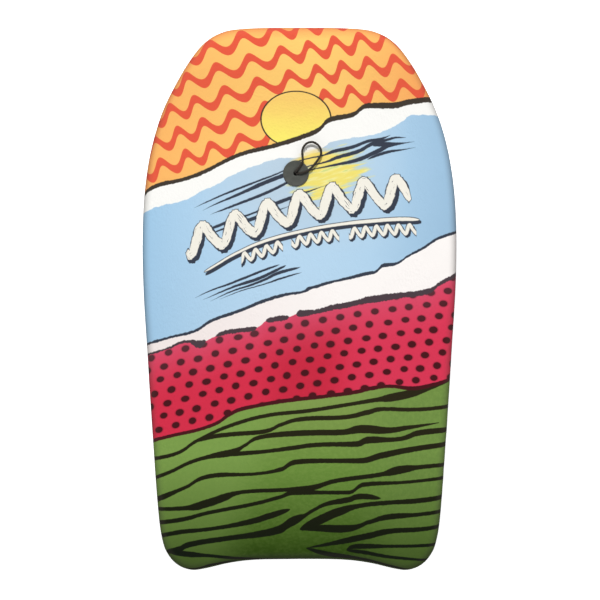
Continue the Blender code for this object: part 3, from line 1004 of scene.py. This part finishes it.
def make_skin():
    """The printed film: one sheet over deck and rails, turned under at the seam and at the plug's bore."""
    stations = board_outline()
    profile = skin_profile()
    mesh = bmesh.new()
    places = mesh.verts.layers.float_vector.new("print_place")

    def add(x, y, height, print_x, print_y, inside):
        vertex = mesh.verts.new(MM * Vector((x, y, height)))
        vertex[places] = Vector((print_x, print_y, inside))
        return vertex

    rings = []
    for inset, height, along in profile:
        ring = []
        for point, inward in stations:
            deck_edge = point + inward * TOP_RADIUS
            share = 1.0 - min(1.0, inset / TOP_RADIUS)
            place = point + inward * (inset - share * rail_wave(point))
            lift = deck_wave(place.x, place.y) * (1.0 - share)
            printed = deck_edge - inward * along
            level = surface_height(place.y, height) + lift
            ring.append(add(place.x, place.y, level, printed.x, printed.y, inset))
        rings.append(ring)
    count = len(stations)
    join_rings(mesh, rings)

    rim = [point + inward * TOP_RADIUS for point, inward in stations]
    bore = circle(SLEEVE_INNER, BORE_STEPS)
    faces, points = filled_cap(rim, bore, SKIN_GRID)
    corners = list(rings[0])
    edge_tree = KDTree(count)
    for i, (point, _) in enumerate(stations):
        edge_tree.insert(point, i)
    edge_tree.balance()
    for p in points[count:]:
        inside = edge_tree.find(p.to_3d())[2]
        height = surface_height(p.y, THICKNESS) + deck_wave(p.x, p.y)
        corners.append(add(p.x, p.y, height, p.x, p.y, inside))
    for face in faces:
        mesh.faces.new([corners[v] for v in face])
    edge = corners[count : count + BORE_STEPS]
    lip = [add(p.x, p.y, THICKNESS - FILM_THICKNESS, p.x, p.y, FAR_INSIDE) for p in bore]
    join_rings(mesh, [edge, lip])
    skin = object_from("deck_print_skin", mesh, film_material(), "board")
    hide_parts("deck_film")


# ---------------------------------------------------------------- the slick bottom

CORNER_STEPS = 4
INNER_FILLET, OUTER_FILLET = 1.2, 2.2
WELD_INSET = 26.0  # a pressed line runs round the bottom this far inside the rail
BOTTOM_GRID = 16.0


def lower_corners(inset):
    """The lower rail at a distance inside the outer surface, from seam to flat bottom."""
    corner = BEVEL + inset * math.tan(math.radians(22.5))
    path = [(inset, SEAM), (inset, corner), (corner, inset), (WELD_INSET - 3, inset)]
    return [Vector(p) for p in path]


def filleted(corners, radius):
    """The same path with round corners."""
    path = [corners[0]]
    for before, at, after in zip(corners, corners[1:], corners[2:]):
        reach_in = (before - at).normalized() * radius
        reach_out = (after - at).normalized() * radius
        start, end = at + reach_in, at + reach_out
        for i in range(CORNER_STEPS + 1):
            t = i / CORNER_STEPS
            path.append(start.lerp(at, t).lerp(at.lerp(end, t), t))
    return path + [corners[-1]]


def make_slick():
    """The bottom sheet, with its rim turned up over the rail's bevel and a pressed line round the edge."""
    stations = board_outline()
    inner = [tuple(p) for p in filleted(lower_corners(SLICK_THICKNESS), INNER_FILLET)]
    outer = [tuple(p) for p in filleted(lower_corners(0.0), OUTER_FILLET)]
    outer = [(0.5, SEAM), (0.12, SEAM - 0.15), (0.0, SEAM - 0.6)] + outer[1:]
    groove = [
        (WELD_INSET - 1.6, 0.0),
        (WELD_INSET - 0.7, 0.35),
        (WELD_INSET + 0.7, 0.35),
        (WELD_INSET + 1.6, 0.0),
        (WELD_INSET + 3.0, 0.0),
    ]
    inner_cap = (WELD_INSET + 3.0, SLICK_THICKNESS)
    path = [inner_cap] + inner[::-1] + outer + groove
    mesh = bmesh.new()

    def add(p, height):
        return mesh.verts.new(MM * Vector((p.x, p.y, surface_height(p.y, height))))

    rings = []
    for inset, height in path:
        rings.append([add(point + inward * inset, height) for point, inward in stations])
    count = len(stations)
    join_rings(mesh, rings)
    bore = circle(BASE_RADIUS + 0.3, BORE_STEPS)
    edges = []
    for ring, (inset, height) in ((rings[0], path[0]), (rings[-1], path[-1])):
        rim = [point + inward * inset for point, inward in stations]
        faces, points = filled_cap(rim, bore, BOTTOM_GRID)
        corners = list(ring) + [add(p, height) for p in points[count:]]
        for face in faces:
            mesh.faces.new([corners[v] for v in face])
        edges.append(corners[count : count + BORE_STEPS])
    join_rings(mesh, edges)
    slick = object_from("slick_bottom", mesh, slick_material(), "board")
    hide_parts("slick")


# ---------------------------------------------------------------- the leash plug

TURN_STEPS = 96
PLUG_SHARP_ANGLE = math.radians(40)
THREAD_PITCH = 1.6
THREAD_DEPTH = 0.35
RIM_ROUND = 1.3  # radius of the cap's outer edge
MOUTH_ROUND = 1.8  # radius of the edge that the cord turns over


def turned(name, profile, material):
    """A closed ring turned about the plug's axis from a profile of radius and height."""
    mesh = bmesh.new()
    rings = []
    for i in range(TURN_STEPS):
        angle = 2 * math.pi * i / TURN_STEPS
        across = Vector((math.cos(angle), math.sin(angle), 0))
        places = [PLUG_CENTRE + across * r + Vector((0, 0, z)) for r, z in profile]
        rings.append([mesh.verts.new(MM * place) for place in places])
    join_rings(mesh, rings + rings[:1])
    piece = object_from(name, mesh, material, "board")
    piece.data.set_sharp_from_angle(angle=PLUG_SHARP_ANGLE)
    return piece


def make_plug():
    """The deck half, dished a little round the hole, and the bottom half with its coin slots."""
    material = plug_material()
    top = THICKNESS + PLUG_FLANGE_TOP
    thread = []
    z = STEM_BOTTOM + 1.0
    while z < THICKNESS - 6.0:
        for height, depth in ((0.0, THREAD_DEPTH), (0.5, 0.0), (0.9, THREAD_DEPTH)):
            thread.append((STEM_OUTER - depth, z + height * THREAD_PITCH))
        z += THREAD_PITCH
    edge = []
    for angle in (math.radians(step) for step in (0, 18, 36, 54, 72, 90)):
        out, up = RIM_ROUND * math.cos(angle), RIM_ROUND * math.sin(angle)
        edge.append((PLUG_RADIUS - RIM_ROUND + out, top - RIM_ROUND + up))
    mouth = []
    for angle in (math.radians(step) for step in (80, 60, 40, 20, 0)):
        out, up = MOUTH_ROUND * math.cos(angle), MOUTH_ROUND * math.sin(angle)
        mouth.append((STEM_INNER + MOUTH_ROUND - out, top - 2.0 + up))
    profile = [(STEM_OUTER - 0.3, STEM_BOTTOM)] + thread + [(STEM_OUTER, THICKNESS - 0.15)]
    profile += [(PLUG_RADIUS - 0.4, THICKNESS - 0.15), (PLUG_RADIUS, THICKNESS + 0.25)] + edge
    profile += [(PLUG_RADIUS - 2.2, top - 0.02), (PLUG_RADIUS - 2.6, top - 0.12)]
    profile += [(9.0, top - 0.16), (6.4, top - 0.18)] + mouth + [(STEM_INNER, STEM_BOTTOM)]
    cap = turned("leash_plug_cap", profile, material)
    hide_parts("leash_plug_top")

    base_top = BASE_BOTTOM + BASE_FLANGE
    base = turned(
        "leash_plug_foot",
        [
            (SLEEVE_INNER, BASE_BOTTOM + 0.5),
            (SLEEVE_INNER + 0.5, BASE_BOTTOM),
            (8.4, BASE_BOTTOM),
            (8.8, BASE_BOTTOM + 0.25),
            (9.4, BASE_BOTTOM + 0.25),
            (9.8, BASE_BOTTOM),
            (BASE_RADIUS - 0.9, BASE_BOTTOM),
            (BASE_RADIUS - 0.3, BASE_BOTTOM + 0.25),
            (BASE_RADIUS, BASE_BOTTOM + 0.9),
            (BASE_RADIUS, base_top),
            (SLEEVE_OUTER, base_top),
            (SLEEVE_OUTER, SLEEVE_TOP),
            (SLEEVE_INNER, SLEEVE_TOP),
        ],
        material,
    )
    cut_slots(base)
    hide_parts("leash_plug_base")


def cut_slots(base):
    """Two slots for a coin or a screwdriver across the foot's flange."""
    width, length, depth = COIN_SLOT
    middle = (SLEEVE_INNER + BASE_RADIUS) / 2
    mesh = bmesh.new()
    for side in (-1, 1):
        for vertex in bmesh.ops.create_cube(mesh, size=1.0)["verts"]:
            x, y, z = vertex.co
            corner = Vector((side * middle + x * length, y * width, BASE_BOTTOM + z * 2 * depth))
            vertex.co = MM * (PLUG_CENTRE + corner)
    cutter = add_object("slots", data_from("slots", mesh))
    cut = base.modifiers.new("slots", "BOOLEAN")
    cut.operation = "DIFFERENCE"
    cut.object = cutter
    bpy.context.view_layer.update()
    shape = bpy.data.meshes.new_from_object(base.evaluated_get(bpy.context.evaluated_depsgraph_get()))
    base.modifiers.clear()
    base.data = shape
    base.data.set_sharp_from_angle(angle=PLUG_SHARP_ANGLE)
    bpy.data.objects.remove(cutter)


# ---------------------------------------------------------------- the leash cord

CORD_SIDES = 32
YARNS = 8
YARN_PITCH = 10.5  # length along the cord of one turn of a yarn
YARN_LOW, YARN_LIFT = 0.97, 0.09  # a yarn's least height and its rise, as shares of the cord's radius
CORD_STEP = 0.36
LIFT_BEND = (6.0, 12.0)  # how far before and after the mouth two points lie, on the line out and up from the plug
STRAND_GAP = 0.05
KNOT_STEPS = 24


def braided_tube(name, line, material, body):
    """A braided cord along a line of points, with each crossing yarn standing up a little."""
    points = even_points(line, CORD_STEP)
    radius = CORD_DIAMETER / 2
    mesh = bmesh.new()
    weave = mesh.verts.layers.float_vector.new("weave")
    heading = (points[1] - points[0]).normalized()
    side = heading.orthogonal().normalized()
    rings = []
    for i, point in enumerate(points):
        ahead = points[min(i + 1, len(points) - 1)] - points[max(i - 1, 0)]
        ahead.normalize()
        side = (side - ahead * side.dot(ahead)).normalized()
        other = ahead.cross(side)
        along = i * CORD_STEP
        ring = []
        for j in range(CORD_SIDES):
            angle = 2 * math.pi * j / CORD_SIDES
            turn = 2 * math.pi * along / YARN_PITCH
            one = math.cos(YARNS / 2 * (angle - turn))
            two = math.cos(YARNS / 2 * (angle + turn))
            over = 0.5 + 0.5 * math.sin(YARNS / 2 * angle) * math.sin(YARNS / 2 * turn)
            lift = max(one * one * over, two * two * (1 - over))
            reach = radius * (YARN_LOW + YARN_LIFT * lift)
            out = side * math.cos(angle) + other * math.sin(angle)
            vertex = mesh.verts.new(MM * (point + reach * out))
            vertex[weave] = Vector((lift, 0.0, 0.0))
            ring.append(vertex)
        rings.append(ring)
    join_rings(mesh, rings)
    mesh.faces.new(rings[0])
    mesh.faces.new(rings[-1][::-1])
    return object_from(name, mesh, material, body), points


def mouth_turn(strand, toward):
    """Points from deep in the plug up to where the cord lies level, turning at the mouth."""
    level = THICKNESS + LOOP_ROUTE[0][2]
    heading = Vector((toward[0] - strand[0], toward[1] - strand[1], 0)).normalized()
    foot = PLUG_CENTRE + Vector((strand[0], strand[1], 0))
    turn = [foot + Vector((0, 0, level - MOUTH_BEND - below)) for below in (CORD_HIDDEN, 2.5)]
    for angle in (math.radians(step) for step in (0, 30, 60)):
        out = MOUTH_BEND * (1 - math.cos(angle))
        up = MOUTH_BEND * (math.sin(angle) - 1)
        turn.append(foot + heading * out + Vector((0, 0, level + up)))
    return turn


def make_cord():
    """The loop, the strands down inside the plug, and the stopper knot under its stem."""
    material = cord_material()
    route = [PLUG_CENTRE + Vector((x, y, THICKNESS + height)) for x, y, height in LOOP_ROUTE]
    left = mouth_turn(LOOP_ROUTE[0], LOOP_ROUTE[2])
    right = mouth_turn(LOOP_ROUTE[-1], LOOP_ROUTE[-4])
    line = smooth_curve(left + route[1:-1] + right[::-1], 12)
    loop, path = braided_tube("leash_cord_loop", line, material, None)
    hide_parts("leash_loop")

    for node, name, end in (
        ("leash_strand_left", "strand_left", left),
        ("leash_strand_right", "strand_right", right),
    ):
        top = end[0] - Vector((0, 0, STRAND_GAP))
        foot = Vector((top.x, top.y, STRAND_BOTTOM - 0.3))
        strand, _ = braided_tube(name, [foot, (foot + top) / 2, top], material, "cord_swivel")
        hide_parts(node)

    centre = PLUG_CENTRE + Vector((0, 0, KNOT_BOTTOM + KNOT_HEIGHT / 2))
    reach = KNOT_RADIUS - CORD_DIAMETER / 2
    rise = KNOT_HEIGHT / 2 - CORD_DIAMETER / 2
    trefoil = []
    for i in range(KNOT_STEPS + 1):
        t = 2 * math.pi * i / KNOT_STEPS
        swing = (0.36 + 0.2 * math.cos(3 * t)) / 0.56 * reach
        place = Vector((swing * math.cos(2 * t), swing * math.sin(2 * t), rise * math.sin(3 * t)))
        trefoil.append(centre + place)
    knot, _ = braided_tube("stopper_knot", smooth_curve(trefoil, 8), material, "cord_swivel")
    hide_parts("leash_knot")

    out_and_up = Vector((math.cos(LOOP_DIRECTION), math.sin(LOOP_DIRECTION), 1)).normalized()
    mouth = PLUG_CENTRE + Vector((0, 0, THICKNESS + LOOP_ROUTE[0][2]))
    start, end = mouth - out_and_up * LIFT_BEND[0], mouth + out_and_up * LIFT_BEND[1]
    MM * end
    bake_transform(loop)
    [tuple(MM * p) for p in path[::3] + [path[-1]]]


# ---------------------------------------------------------------- the inner layers, as the CAD has them


def dress_inner_layers():
    """Gives the foam layers their materials."""
    foam = sheet_foam_material("deck_foam_cells", colour(222, 222, 218), colour(244, 244, 240))
    backing = sheet_foam_material("slick_foam_cells", colour(206, 207, 206), colour(232, 233, 232))
    layers = {"eps_core": bead_foam_material(), "deck_foam": foam, "slick_foam": backing}
    for node, material in layers.items():
        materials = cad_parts[node].data.materials
        materials.clear()
        materials.append(material)


# ---------------------------------------------------------------- floor and light

SKY_STRENGTH = 0.97
SKY_DIP = 0.9  # the sky is darker overhead, where the camera is, so the film doesn't mirror it
HORIZON_DIP = 0.72  # and darker towards the horizon, so the rails fall into shade
KEY_PLACE = Vector((-0.2, 2.5, 2.7))
KEY_SIZE = 0.45
KEY_POWER = 122.0
FLOOR_DROP = 0.0004  # metres between the slick's lowest point and the floor


def make_stage():
    """A pale floor, a soft sky, and one key light beyond the nose.

    The floor lights nothing and isn't mirrored, so the board stands out on plain white.
    """
    material, _, shader = new_material("floor", 0.9, 0.0)
    shader.inputs["Base Color"].default_value = (0.9, 0.9, 0.9, 1.0)
    shader.inputs["Emission Color"].default_value = (1.0, 1.0, 1.0, 1.0)
    shader.inputs["Emission Strength"].default_value = 0.8
    mesh = bmesh.new()
    bmesh.ops.create_grid(mesh, x_segments=1, y_segments=1, size=12.0)
    floor = add_object("floor", data_from("floor", mesh))
    floor.data.materials.append(material)
    floor.location = (0, 0, -FLOOR_DROP)
    floor.visible_glossy = False
    floor.visible_diffuse = False

    world = bpy.data.worlds.new("studio")
    bpy.context.scene.world = world
    world.use_nodes = True
    sky = world.node_tree
    background = sky.nodes["Background"]
    direction = Value(sky, sky.nodes.new("ShaderNodeTexCoord").outputs["Generated"])
    height = parts_of(direction)[2]
    background.inputs["Color"].default_value = (1.0, 1.0, 1.0, 1.0)
    overhead = height.between(0.62, 0.92) * SKY_DIP
    level = (1.0 - height.between(-0.1, 0.6)) * HORIZON_DIP
    feed(background.inputs["Strength"], SKY_STRENGTH - overhead - level)

    light = bpy.data.lights.new("key", "AREA")
    light.size = KEY_SIZE
    light.energy = KEY_POWER
    lamp = add_object("key", light)
    lamp.location = KEY_PLACE
    lamp.visible_glossy = False
    lamp.rotation_euler = (-KEY_PLACE).to_track_quat("-Z", "Y").to_euler()


make_cord()
make_skin()
make_slick()
make_plug()
dress_inner_layers()
make_stage()
